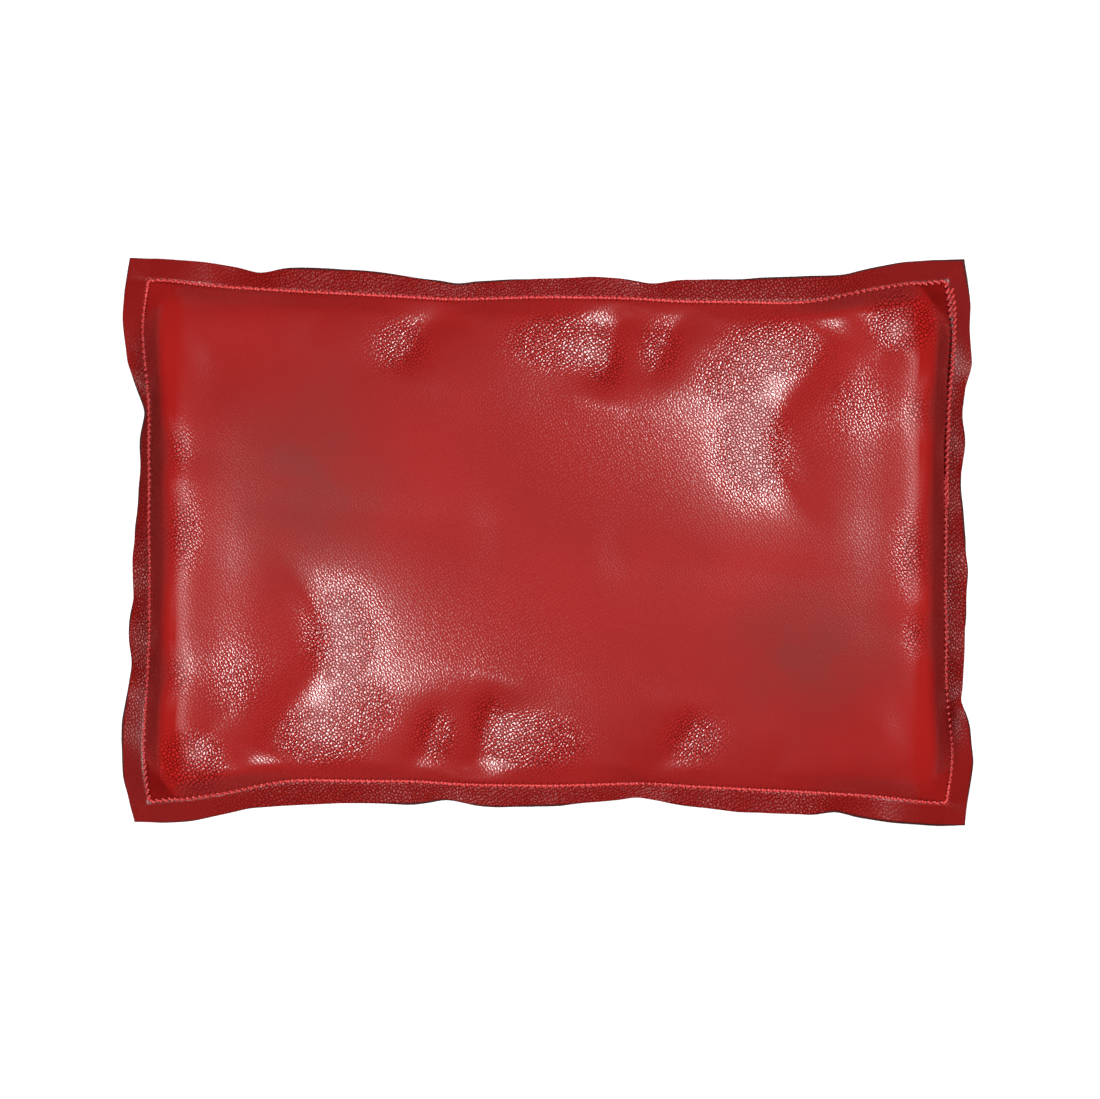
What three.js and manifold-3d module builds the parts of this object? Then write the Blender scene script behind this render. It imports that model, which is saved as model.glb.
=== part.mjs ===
// A pillow sandbag for weighing down light stands: two leather panels sewn together round
// a flat margin, with a sand-filled canvas liner inside. It lies on its flat underside.
// Millimetres. X runs along the bag, Y across it, Z up; the origin is under its middle.

import * as THREE from "three";
import { mergeVertices } from "three/addons/utils/BufferGeometryUtils.js";
import Module from "manifold-3d";

const wasm = await Module();
wasm.setup();

// Driving dimensions
const LENGTH = 449;
const WIDTH = 300;
const HEIGHT = 58;
const END_BOW = 9; // how far the middle of a short edge is drawn in by the fill
const SIDE_BOW = 13.5; // the same for a long edge
const MARGIN = 12.5; // the flat margin, from the cut edge to where the panels part
const LEATHER = 1.6;
const CANVAS = 0.5;
const CLEARANCE = 0.3; // between pieces that touch
const SEAM_HEIGHT = 25; // the margin's mid plane, at the middle of each edge
const CORNER_DROOP = 11; // the empty corners hang lower by this much
const DROOP_POWER = 4; // how closely the droop keeps to the corners
const END_SHOULDER = 36; // how far in from the seam the top takes to level out
const SIDE_SHOULDER = 50;
const UNDERSIDE_CURVE = 26; // how far in from the seam the underside meets the floor
const CROWN_SHARE = 0.12; // the share of the top's rise that is left for a gentle crown

const THREAD = 1.0; // diameter
const SEAM_INSET = 10.9; // from the cut edge to the seam's thread
const CLOSING_INSET = 8.3; // the closing row runs outside the first one
const LEG_PITCH = 39.6; // one leg for every twelve stitches of 3.3 mm
const STEPS_A_LEG = 3;
const LEG_WIDTH = 0.8;
const NEEDLE_HOLE = 1.5;
const NEEDLE_REACH = 12; // more than both panels together
const ROUTE_STEP = 12; // between the points that a row's curve goes through
const OPENING = { low: 34, high: 118 }; // the filling opening in the +X end, along Y
const CLOSING_OVERLAP = 16; // how far the closing row runs past each end of the opening

// Lines of the grid that every sheet shares: distances in from the seam
const END_LINES = [0, 3, 9, 16, 24, 36, 54, 78, 108, 142, 178];
const SIDE_LINES = [0, 3, 9, 16, 25, 36, 50, 70, 98];
const LINER_EDGE = 2; // the number of the line that the liner's flat hem runs in from
const FILL_EDGE = 18.5; // the sand's edge, in from the seam
const FILL_EDGE_HALF = 0.05; // half of its height there

const HALF_LENGTH = LENGTH / 2;
const HALF_WIDTH = WIDTH / 2;
const CROWN = HEIGHT - SEAM_HEIGHT - CLEARANCE / 2 - LEATHER;

// The surfaces, over u and v that run from -1 to 1 between opposite cut edges

const rise = (t) => Math.sin((Math.PI / 2) * THREE.MathUtils.clamp(t, 0, 1));
const fromEnd = (u) => (1 - Math.abs(u)) * HALF_LENGTH - MARGIN;
const fromSide = (v) => (1 - Math.abs(v)) * HALF_WIDTH - MARGIN;
const seamHeight = (u, v) => SEAM_HEIGHT - CORNER_DROOP * (u * v) ** DROOP_POWER;

function plan(u, v) {
  const x = u * (HALF_LENGTH - END_BOW * (1 - v * v));
  const y = v * (HALF_WIDTH - SIDE_BOW * (1 - u * u));
  return [x, y];
}

function topSurface(u, v) {
  const shoulder = rise(fromEnd(u) / END_SHOULDER) * rise(fromSide(v) / SIDE_SHOULDER);
  const crown = 1 - CROWN_SHARE + CROWN_SHARE * (1 - u * u) * (1 - v * v);
  const z = seamHeight(u, v) + CLEARANCE / 2 + LEATHER + CROWN * crown * shoulder;
  return new THREE.Vector3(...plan(u, v), z);
}

function underSurface(u, v) {
  const curve = rise(fromEnd(u) / UNDERSIDE_CURVE) * rise(fromSide(v) / UNDERSIDE_CURVE);
  const z = (seamHeight(u, v) - CLEARANCE / 2 - LEATHER) * (1 - curve);
  return new THREE.Vector3(...plan(u, v), z);
}

// The point at a depth below a surface, measured square to it, or straight down in the flat
// margin; side is 1 for the top, -1 for the underside
function inside(surface, side, depth) {
  const step = 1e-3;
  return (u, v) => {
    if (Math.min(fromEnd(u), fromSide(v)) < step) {
      const point = surface(u, v);
      point.z -= side * depth;
      return point;
    }
    const alongU = surface(u + step, v).sub(surface(u - step, v));
    const alongV = surface(u, v + step).sub(surface(u, v - step));
    const outward = alongU.cross(alongV).normalize().multiplyScalar(side);
    return surface(u, v).addScaledVector(outward, -depth);
  };
}

// A closed sheet between two surfaces, over grid lines along u and v
function sheet(upper, lower, lines) {
  const { us, vs } = lines;
  const positions = [];
  const faces = [];
  for (const surface of [upper, lower]) {
    for (const v of vs) {
      for (const u of us) positions.push(...surface(u, v).toArray());
    }
  }
  const under = us.length * vs.length;
  const at = (i, j) => j * us.length + i;
  const quad = (a, b, c, d) => faces.push(a, b, c, a, c, d);
  for (let j = 0; j + 1 < vs.length; j++) {
    for (let i = 0; i + 1 < us.length; i++) {
      const [a, b, c, d] = [at(i, j), at(i + 1, j), at(i + 1, j + 1), at(i, j + 1)];
      quad(a, b, c, d);
      quad(under + a, under + d, under + c, under + b);
    }
  }
  const rim = [];
  for (let i = 0; i + 1 < us.length; i++) rim.push(at(i, 0));
  for (let j = 0; j + 1 < vs.length; j++) rim.push(at(us.length - 1, j));
  for (let i = us.length - 1; i > 0; i--) rim.push(at(i, vs.length - 1));
  for (let j = vs.length - 1; j > 0; j--) rim.push(at(0, j));
  rim.forEach((a, k) => {
    const b = rim[(k + 1) % rim.length];
    quad(a, under + a, under + b, b);
  });
  const geometry = new THREE.BufferGeometry();
  geometry.setAttribute("position", new THREE.Float32BufferAttribute(positions, 3));
  geometry.setIndex(faces);
  return geometry;
}

// Grid lines from distances in from the seam, both ways from the middle
function gridLines(endDistances, sideDistances) {
  const mirrored = (distances, half) => {
    const inward = distances.map((d) => 1 - (MARGIN + d) / half);
    return [...inward.map((t) => -t), 0, ...inward.reverse()];
  };
  return { us: mirrored(endDistances, HALF_LENGTH), vs: mirrored(sideDistances, HALF_WIDTH) };
}

const panelLines = gridLines([-MARGIN, ...END_LINES], [-MARGIN, ...SIDE_LINES]);
const linerLines = gridLines(END_LINES.slice(LINER_EDGE), SIDE_LINES.slice(LINER_EDGE));
const fillLines = gridLines(
  [FILL_EDGE, ...END_LINES.slice(LINER_EDGE + 2)],
  [FILL_EDGE, ...SIDE_LINES.slice(LINER_EDGE + 2)],
);

// A surface that lies flat, at a height above the seam's plane, up to a distance in from the seam
function flatRim(surface, distance, height) {
  const rounding = 1e-6;
  return (u, v) => {
    if (Math.min(fromEnd(u), fromSide(v)) > distance + rounding) return surface(u, v);
    return new THREE.Vector3(...plan(u, v), seamHeight(u, v) + height);
  };
}

// manifold-3d does the cuts and joins
function solidOf(geometry) {
  const bare = geometry.index ? geometry.toNonIndexed() : geometry.clone();
  for (const name of ["normal", "uv"]) bare.deleteAttribute(name);
  const merged = mergeVertices(bare, 1e-4);
  return new wasm.Manifold(
    new wasm.Mesh({
      numProp: 3,
      vertProperties: merged.attributes.position.array,
      triVerts: new Uint32Array(merged.index.array),
    }),
  );
}

function geometryOf(solid) {
  const mesh = solid.getMesh();
  const geometry = new THREE.BufferGeometry();
  geometry.setAttribute("position", new THREE.BufferAttribute(mesh.vertProperties, 3));
  geometry.setIndex(new THREE.BufferAttribute(mesh.triVerts, 1));
  return geometry;
}

// A row of stitches in the seam's mid plane, an inset in from the cut edge, past stops in u and v
function stitchRow(inset, stopsAt) {
  const u = 1 - inset / HALF_LENGTH;
  const v = 1 - inset / HALF_WIDTH;
  const endV = (y) => y / (HALF_WIDTH - SIDE_BOW * (1 - u * u));
  const stops = stopsAt(u, v, endV);
  const points = [];
  for (let k = 0; k + 1 < stops.length; k++) {
    const [from, to] = [stops[k], stops[k + 1]];
    const span = Math.hypot((to[0] - from[0]) * HALF_LENGTH, (to[1] - from[1]) * HALF_WIDTH);
    const steps = Math.ceil(span / ROUTE_STEP);
    for (let i = k ? 1 : 0; i <= steps; i++) {
      const at = [0, 1].map((n) => THREE.MathUtils.lerp(from[n], to[n], i / steps));
      points.push(new THREE.Vector3(...plan(...at), seamHeight(...at)));
    }
  }
  const curve = new THREE.CatmullRomCurve3(points, false, "centripetal");
  const steps = Math.round(curve.getLength() / LEG_PITCH) * STEPS_A_LEG;
  const places = curve.getSpacedPoints(steps).filter((p, i) => i % STEPS_A_LEG === 1);
  return { curve, steps, places };
}

const seamRow = stitchRow(SEAM_INSET, (u, v, endV) => [
  [u, endV(OPENING.low)],
  [u, -v],
  [-u, -v],
  [-u, v],
  [u, v],
  [u, endV(OPENING.high)],
]);
const closingRow = stitchRow(CLOSING_INSET, (u, v, endV) => [
  [u, endV(OPENING.high + CLOSING_OVERLAP)],
  [u, endV(OPENING.low - CLOSING_OVERLAP)],
]);

// A row's thread on one face of the margin, with legs down to the seam's mid plane
function thread(row, side) {
  const height = CLEARANCE / 2 + LEATHER + CLEARANCE + THREAD / 2;
  const section = new THREE.Shape();
  section.absarc(0, 0, THREAD / 2, 0, 2 * Math.PI);
  const run = new THREE.ExtrudeGeometry(section, {
    extrudePath: row.curve,
    steps: row.steps,
    curveSegments: 4,
    bevelEnabled: false,
  });
  run.translate(0, 0, side * height);
  let solid = solidOf(run);
  const reach = height - CLEARANCE / 2;
  for (const place of row.places) {
    const leg = new THREE.BoxGeometry(LEG_WIDTH, LEG_WIDTH, reach);
    leg.translate(place.x, place.y, place.z + side * (CLEARANCE / 2 + reach / 2));
    solid = solid.add(solidOf(leg));
  }
  return geometryOf(solid);
}

// A panel with its needle holes
function punched(geometry) {
  let solid = solidOf(geometry);
  for (const place of [...seamRow.places, ...closingRow.places]) {
    const needle = new THREE.BoxGeometry(NEEDLE_HOLE, NEEDLE_HOLE, NEEDLE_REACH);
    needle.translate(place.x, place.y, place.z);
    solid = solid.subtract(solidOf(needle));
  }
  return geometryOf(solid);
}

const leather = new THREE.MeshStandardMaterial({ color: 0xa92b2a, roughness: 0.38, metalness: 0 });
const cotton = new THREE.MeshStandardMaterial({ color: 0xb83438, roughness: 0.6, metalness: 0 });
const canvas = new THREE.MeshStandardMaterial({ color: 0xcfc4a8, roughness: 0.9, metalness: 0 });
const grit = new THREE.MeshStandardMaterial({ color: 0xc2a678, roughness: 0.95, metalness: 0 });

const bag = new THREE.Group();

function addPiece(name, geometry, material) {
  const mesh = new THREE.Mesh(geometry, material);
  mesh.name = name;
  bag.add(mesh);
}

addPiece("top_panel", punched(sheet(topSurface, inside(topSurface, 1, LEATHER), panelLines)), leather);
addPiece(
  "bottom_panel",
  punched(sheet(inside(underSurface, -1, LEATHER), underSurface, panelLines)),
  leather,
);

// The liner follows the panels inside, and its two sheets are sewn flat together at their hem
const linerDepth = LEATHER + CLEARANCE;
const hem = END_LINES[LINER_EDGE + 1];
const halfGap = CLEARANCE / 2;
addPiece(
  "liner_upper",
  sheet(
    flatRim(inside(topSurface, 1, linerDepth), hem, halfGap + CANVAS),
    flatRim(inside(topSurface, 1, linerDepth + CANVAS), hem, halfGap),
    linerLines,
  ),
  canvas,
);
addPiece(
  "liner_lower",
  sheet(
    flatRim(inside(underSurface, -1, linerDepth + CANVAS), hem, -halfGap),
    flatRim(inside(underSurface, -1, linerDepth), hem, -halfGap - CANVAS),
    linerLines,
  ),
  canvas,
);

const fillDepth = linerDepth + CANVAS + CLEARANCE;
addPiece(
  "sand_fill",
  sheet(
    flatRim(inside(topSurface, 1, fillDepth), FILL_EDGE, FILL_EDGE_HALF),
    flatRim(inside(underSurface, -1, fillDepth), FILL_EDGE, -FILL_EDGE_HALF),
    fillLines,
  ),
  grit,
);

addPiece("seam_needle_thread", thread(seamRow, 1), cotton);
addPiece("seam_bobbin_thread", thread(seamRow, -1), cotton);
addPiece("closing_needle_thread", thread(closingRow, 1), cotton);
addPiece("closing_bobbin_thread", thread(closingRow, -1), cotton);

export default bag;
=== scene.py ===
import math

import bpy
import numpy as np
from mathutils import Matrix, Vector


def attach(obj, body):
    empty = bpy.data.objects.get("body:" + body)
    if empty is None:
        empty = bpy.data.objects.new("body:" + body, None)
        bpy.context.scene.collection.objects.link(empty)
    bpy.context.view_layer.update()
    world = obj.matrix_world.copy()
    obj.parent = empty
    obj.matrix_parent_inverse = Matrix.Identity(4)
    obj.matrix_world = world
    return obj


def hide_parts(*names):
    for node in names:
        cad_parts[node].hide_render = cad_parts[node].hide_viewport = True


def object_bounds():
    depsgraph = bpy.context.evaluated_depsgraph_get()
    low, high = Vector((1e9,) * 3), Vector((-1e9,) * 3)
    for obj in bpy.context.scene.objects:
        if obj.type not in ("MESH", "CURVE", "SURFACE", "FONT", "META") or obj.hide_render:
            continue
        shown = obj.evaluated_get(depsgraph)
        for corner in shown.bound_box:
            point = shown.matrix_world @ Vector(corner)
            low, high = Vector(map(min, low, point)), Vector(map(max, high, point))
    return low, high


MM = 0.001

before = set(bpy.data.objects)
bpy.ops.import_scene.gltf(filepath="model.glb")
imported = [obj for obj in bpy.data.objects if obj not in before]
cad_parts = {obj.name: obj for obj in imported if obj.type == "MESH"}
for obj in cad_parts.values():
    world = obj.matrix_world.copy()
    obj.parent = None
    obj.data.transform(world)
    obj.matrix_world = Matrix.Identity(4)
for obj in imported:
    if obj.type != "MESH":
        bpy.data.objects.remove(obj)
cad_low, cad_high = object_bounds()
HALF_LENGTH = cad_high.x / MM
HALF_WIDTH = cad_high.y / MM
HEIGHT = cad_high.z / MM

# Millimetres from here to the meshes, which are made in metres.

LEATHER = 1.6  # thickness
CANVAS = 0.5  # thickness
PANEL_GAP = 0.3  # between the panels in the margin
CUT_PANEL = (305.0, 457.0)
MARGIN_CUT = 11.5  # the seam's distance from the edge of the cut panel
FLAT_SCALE = CUT_PANEL[1] / 2 / HALF_LENGTH  # of the cut panel against places on it
SEAM_HALF_X = 211.0  # the seam's corners
SEAM_HALF_Y = 137.0
LINER_INSET = 9.0  # from the seam to the canvas sack
LINER_HEM = 7.0
FILL_INSET = 18.5  # from the seam to the sand
REST = 0.02  # between the underside and the ground
UP = np.array([0, 0, 1])

# The margin's cut edge and the seam: (place along the edge, how far the fill draws it in from the
# CAD box). The lower long edge is the upper one turned half way round, and so is the left end's seam.
LONG_CUT = [
    (-224, 0), (-207, 0.4), (-182, 3), (-163, 6), (-152, 9.2), (-139, 7), (-100, 8.5), (-75, 11.5),
    (-47, 16.4), (-37, 14.6), (-6, 12.6), (25, 11.6), (38, 12.6), (54, 15.4), (70, 13), (101, 13.1),
    (133, 11.6), (158, 10), (170, 6.8), (190, 2.4), (207, 1), (224, 1),
]
LONG_SEAM = [
    (-224, 11.8), (-211, 12.6), (-170, 17.9), (-127, 20.4), (-78, 22.8), (-48, 24.8), (-24, 23.8),
    (0, 23), (43, 23.8), (69, 25.8), (103, 25.9), (136, 26.5), (148, 24.8), (165, 20.4), (184, 17.1),
    (209, 13.8), (224, 12.6),
]
RIGHT_CUT = [
    (-150, 3.7), (-140, 2.6), (-115, 0.5), (-96, 3.7), (-83, 8), (-77, 6.3), (-40, 4.8), (-14, 3.7),
    (5, 5.8), (27, 8), (43, 6.2), (55, 5.3), (68, 6.3), (81, 4.7), (93, 1), (112, 1.6), (125, 0.5),
    (137, 2.1), (150, 4.2),
]
LEFT_CUT = [
    (-150, 5.2), (-140, 2.6), (-125, 0), (-94, 1), (-83, 3.7), (-64, 6.3), (-52, 4.7), (-31, 6.8),
    (-8, 6.3), (24, 9.5), (55, 10), (68, 13), (81, 8.9), (93, 3.7), (106, 2), (117, 0.5), (131, 1),
    (150, 3.7),
]
END_SEAM = [
    (-150, 14.5), (-137, 15), (-115, 12.6), (-98, 14), (-75, 17), (-40, 17.4), (0, 17.5), (40, 17.4),
    (68, 16.8), (98, 14.3), (122, 12.7), (137, 15.2), (150, 15.5),
]


# Numbers and grids


def smooth_step(t):
    """0 up to 0, 1 from 1 on, and a smooth rise between."""
    t = np.clip(t, 0.0, 1.0)
    return t * t * (3.0 - 2.0 * t)


def rise(t):
    """A quarter of a wave: steep at 0 and level from 1 on."""
    return np.sin(0.5 * math.pi * np.clip(t, 0.0, 1.0))


def soft_curve(stops, at, softness):
    """The heights at the places asked, on lines that join the stops with their corners rounded off."""
    xs, ys = np.array(stops, float).T
    step = 0.5
    fine = np.arange(xs[0] - 4 * softness, xs[-1] + 4 * softness, step)
    reach = np.arange(-3 * softness, 3 * softness + step, step)
    kernel = np.exp(-0.5 * (reach / softness) ** 2)
    rounded = np.convolve(np.interp(fine, xs, ys), kernel / kernel.sum(), mode="same")
    return np.interp(at, fine, rounded)


def cubic_weights(places, count):
    """A matrix that gives a smooth curve's values at the places from count even samples over -1..1."""
    t = (np.asarray(places) + 1) * 0.5 * (count - 1)
    first = np.clip(np.floor(t).astype(int), 0, count - 2)
    f = t - first
    shares = (
        -0.5 * f + f**2 - 0.5 * f**3,
        1 - 2.5 * f**2 + 1.5 * f**3,
        0.5 * f + 2 * f**2 - 1.5 * f**3,
        -0.5 * f**2 + 0.5 * f**3,
    )
    weights = np.zeros((len(t), count))
    rows = np.arange(len(t))
    for offset, share in zip((-1, 0, 1, 2), shares):
        np.add.at(weights, (rows, np.clip(first + offset, 0, count - 1)), share)
    return weights


def refine(samples, us, vs):
    """An even grid over -1..1 both ways, resampled smoothly at other lines."""
    across = cubic_weights(us, samples.shape[1])
    along = cubic_weights(vs, samples.shape[0])
    return np.einsum("aj,jik,bi->abk", along, samples, across)


def blur(field, passes):
    """Rounds off a grid's values, keeping its outer line where it is."""
    for _ in range(passes):
        inner = field[1:-1, 1:-1]
        around = field[:-2, 1:-1] + field[2:, 1:-1] + field[1:-1, :-2] + field[1:-1, 2:]
        field = field.copy()
        field[1:-1, 1:-1] = 0.5 * inner + 0.125 * around
    return field


def waves(turn, parts):
    """Waves round the outline. Each part is a height, how many waves go round, and a phase."""
    return sum(height * np.sin(count * turn + phase) for height, count, phase in parts)


def grid_normals(grid):
    along_u = np.gradient(grid, axis=1)
    along_v = np.gradient(grid, axis=0)
    normals = np.cross(along_u, along_v)
    return normals / np.linalg.norm(normals, axis=-1, keepdims=True)


# The seam and the margin in plan, over p and q: places on the panel, whose seam is a rectangle


def margin_share(p, half):
    """0 at the seam, 1 at the cut edge, for one direction with its seam at half."""
    outer = HALF_LENGTH if half == SEAM_HALF_X else HALF_WIDTH
    return np.clip((np.abs(p) - half) / (outer - half), 0.0, 1.0)


def plan(p, q):
    """Where places on the panel lie, seen from above."""
    right = p > 0
    top = q > 0
    end_seam = soft_curve(END_SEAM, np.where(right, q, -q), softness=6.0)
    right_cut = soft_curve(RIGHT_CUT, q, softness=2.0)
    left_cut = soft_curve(LEFT_CUT, q, softness=2.0)
    end_cut = np.where(right, right_cut, left_cut)
    long_seam = soft_curve(LONG_SEAM, np.where(top, p, -p), softness=7.0)
    long_cut = soft_curve(LONG_CUT, np.where(top, p, -p), softness=2.5)
    a = margin_share(p, SEAM_HALF_X)
    b = margin_share(q, SEAM_HALF_Y)
    x = np.clip(p / SEAM_HALF_X, -1, 1) * (HALF_LENGTH - end_seam)
    x += np.sign(p) * a * (end_seam - end_cut)
    y = np.clip(q / SEAM_HALF_Y, -1, 1) * (HALF_WIDTH - long_seam)
    y += np.sign(q) * b * (long_seam - long_cut)
    return x, y


def seam_distance(p, q):
    """How far a place on the panel is inside the seam."""
    return np.minimum(SEAM_HALF_X - np.abs(p), SEAM_HALF_Y - np.abs(q))


def turn_round(p, q):
    """The angle of a place on the panel round its middle."""
    return np.arctan2(q / HALF_WIDTH, p / HALF_LENGTH)


SEAM_HEIGHT = 25.0  # at the middle of an end
CORNER_DROOP = 11.0
SIDE_LIFT = 6.0  # at the middle of a long side
PUCKERS = [(0.7, 11, 0.2), (0.5, 17, 1.0)]
PUCKER_REACH = 12.0


def seam_height(p, q):
    """The seam's height, lifted by the fill at the long sides, drooping at the corners and puckered."""
    u = np.clip(p / SEAM_HALF_X, -1, 1)
    v = np.clip(q / SEAM_HALF_Y, -1, 1)
    broad = SEAM_HEIGHT - CORNER_DROOP * np.abs(u * v) ** 4 + SIDE_LIFT * (1 - u**4) * v**4
    pucker = waves(turn_round(p, q), PUCKERS)
    return broad + pucker * (1 - smooth_step(seam_distance(p, q) / PUCKER_REACH))


# How far the cut edge lies above or below the seam: (place along the edge, height), for the upper
# long edge, which the lower one repeats turned half way round, and for the two ends
LONG_RIPPLE = [
    (-224, -4), (-205, -3), (-178, 0.5), (-158, -4.5), (-140, -1), (-124, 0.5), (-105, -2), (-92, 0),
    (-76, -2.5), (-57, 1.5), (-32, -3), (-27, -0.5), (-14, -2), (-6, 0), (8, -2.5), (24, -0.5),
    (36, 1.5), (56, -3.5), (75, -2), (95, -4), (118, -4.5), (150, -6), (180, -8), (224, -9),
]
RIGHT_RIPPLE = [
    (-150, -5), (-128, -4), (-105, 1), (-88, 6), (-76, -4), (-60, -2), (-40, -5), (-18, -1), (3, -6),
    (18, -2), (32, -5), (47, 1), (62, -6), (76, -5), (88, 0), (102, -5), (125, -8), (150, -9),
]
LEFT_RIPPLE = [
    (-150, -9), (-125, -8), (-104, -4), (-92, -6), (-78, 0), (-63, -6), (-46, 1), (-30, -5), (-14, -1),
    (6, -6), (24, -8), (46, -10), (68, -9), (84, 1), (98, -2), (118, -1), (135, -3), (150, -4),
]


def ripple(p, q):
    """The cut edge's height above the seam, with the long side's and the end's blended at a corner."""
    long_side = soft_curve(LONG_RIPPLE, np.where(q > 0, p, -p), softness=4.0)
    right_end = soft_curve(RIGHT_RIPPLE, q, softness=4.0)
    left_end = soft_curve(LEFT_RIPPLE, q, softness=4.0)
    end = np.where(p > 0, right_end, left_end)
    past_end = np.abs(p / SEAM_HALF_X) - 1
    past_side = np.abs(q / SEAM_HALF_Y) - 1
    share = smooth_step(0.5 + past_end * 8 - past_side * 5)
    return long_side + (end - long_side) * share


def margin_height(p, q):
    """The margin's height; inside the seam this is seam_height."""
    share = np.maximum(margin_share(p, SEAM_HALF_X), margin_share(q, SEAM_HALF_Y))
    return seam_height(p, q) + ripple(p, q) * share**1.2


# The filled bag by cloth simulation: two flat panels held by their seam and blown apart by the fill

SIM_LINES = (61, 41)
SIM_FRAMES = 40
START_RISE = 26.0  # of the top over the seam before it is blown up
START_CLEARANCE = 4.0  # of the underside over the ground
START_WALLS = (30.0, 40.0)  # how far inside the seam they are reached, from an end and from a side


def sim_places():
    """The simulated panels' lines, as shares of the way to the seam and as places on the panel."""
    nu, nv = SIM_LINES
    u, v = np.meshgrid(np.linspace(-1, 1, nu), np.linspace(-1, 1, nv))
    return u, v, u * SEAM_HALF_X, v * SEAM_HALF_Y


def start_panels():
    """The simulation's two panels before it starts, and the flat panel that the leather was cut to."""
    u, v, p, q = sim_places()
    x, y = plan(p, q)
    seam = margin_height(p, q)
    flat_x = u * (CUT_PANEL[1] / 2 - MARGIN_CUT)
    flat_y = v * (CUT_PANEL[0] / 2 - MARGIN_CUT)
    end_wall_width, side_wall_width = START_WALLS
    bulge = rise((1 - np.abs(u)) * SEAM_HALF_X / end_wall_width)
    bulge *= rise((1 - np.abs(v)) * SEAM_HALF_Y / side_wall_width)
    upper = np.stack([x, y, seam + START_RISE * bulge], -1)
    lower = np.stack([x, y, seam - (seam - START_CLEARANCE) * bulge], -1)
    flat = np.stack([flat_x, flat_y, seam], -1)
    return upper, lower, flat


def add_cloth(bag, cut):
    """Cloth with pressure inside, its seam held, and the flat cut as its unstretched size."""
    cloth = bag.modifiers.new("Cloth", "CLOTH")
    s = cloth.settings
    s.quality = 6
    s.mass = 0.4
    s.vertex_group_mass = "seam"
    s.tension_stiffness = 60
    s.compression_stiffness = 60
    s.shear_stiffness = 30
    s.bending_stiffness = 20
    s.tension_damping = 25
    s.compression_damping = 25
    s.shear_damping = 25
    s.air_damping = 5
    s.rest_shape_key = cut
    s.use_pressure = True
    s.uniform_pressure_force = 20
    s.effector_weights.gravity = 0
    cloth.collision_settings.distance_min = MM
    cloth.point_cache.frame_end = SIM_FRAMES


def simulated_panels():
    """The upper and the lower panel after the cloth simulation, in millimetres."""
    upper, lower, flat = start_panels()
    nu, nv = SIM_LINES
    inner = np.zeros((nv, nu), bool)
    inner[1:-1, 1:-1] = True
    upper_at = np.arange(nu * nv).reshape(nv, nu)
    lower_at = upper_at.copy()
    lower_at[inner] = nu * nv + np.arange(inner.sum())
    points = np.concatenate([upper.reshape(-1, 3), lower[inner]]) * MM
    rest = np.concatenate([flat.reshape(-1, 3), flat[inner]]) * MM
    faces = quads(upper_at, True) + quads(lower_at, False)
    bag = new_mesh("simulated_bag", points, faces)
    bag.shape_key_add(name="Basis")
    cut = bag.shape_key_add(name="cut")
    cut.data.foreach_set("co", rest.astype(np.float32).ravel())
    cut.value = 0
    held = bag.vertex_groups.new(name="seam")
    held.add([int(i) for i in upper_at[~inner]], 1.0, "REPLACE")
    add_cloth(bag, cut)
    bpy.ops.mesh.primitive_plane_add(size=2)
    ground = bpy.context.object
    ground.modifiers.new("Collision", "COLLISION")
    ground.collision.thickness_outer = MM
    scene = bpy.context.scene
    for step in range(1, SIM_FRAMES + 1):
        scene.frame_set(step)
    done = bag.evaluated_get(bpy.context.evaluated_depsgraph_get())
    found = np.zeros(len(points) * 3)
    done.data.vertices.foreach_get("co", found)
    found = found.reshape(-1, 3) / MM
    for helper in (bag, ground):
        bpy.data.objects.remove(helper)
    scene.frame_set(1)
    return found[upper_at], found[lower_at]


# Meshes


def quads(at, outward_up):
    """The faces of a grid of point numbers, facing up or down."""
    corners = (at[:-1, :-1], at[:-1, 1:], at[1:, 1:], at[1:, :-1])
    if not outward_up:
        corners = corners[::-1]
    return [tuple(int(i) for i in face) for face in np.stack(corners, -1).reshape(-1, 4)]


def new_mesh(name, points, faces):
    mesh = bpy.data.meshes.new(name)
    mesh.from_pydata(np.asarray(points).tolist(), [], faces)
    mesh.update()
    made = bpy.data.objects.new(name, mesh)
    bpy.context.scene.collection.objects.link(made)
    return made


def shade_smooth(piece):
    piece.data.polygons.foreach_set("use_smooth", np.ones(len(piece.data.polygons), bool))


def shell(name, outer, inner, faces_up):
    """A closed sheet between two grids of the same lines, in millimetres."""
    nv, nu = outer.shape[:2]
    outer_at = np.arange(nu * nv).reshape(nv, nu)
    inner_at = outer_at + nu * nv
    faces = quads(outer_at, faces_up) + quads(inner_at, not faces_up)
    rim = np.concatenate(
        [outer_at[0, :-1], outer_at[:-1, -1], outer_at[-1, :0:-1], outer_at[:0:-1, 0]]
    )
    for a, b in zip(rim, np.roll(rim, -1)):
        face = (int(a), int(a) + nu * nv, int(b) + nu * nv, int(b))
        faces.append(face if faces_up else face[::-1])
    points = np.concatenate([outer.reshape(-1, 3), inner.reshape(-1, 3)]) * MM
    piece = new_mesh(name, points, faces)
    shade_smooth(piece)
    return piece


def add_uv(piece, name, coordinates):
    """A UV map from one coordinate for each point."""
    layer = piece.data.uv_layers.new(name=name)
    loops = np.zeros(len(piece.data.loops), int)
    piece.data.loops.foreach_get("vertex_index", loops)
    layer.data.foreach_set("uv", coordinates[loops].astype(np.float32).ravel())


# Soft round patches of the panels, where the grain is open, or where the finish is matt and a greyish
# sheen is painted on

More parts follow.
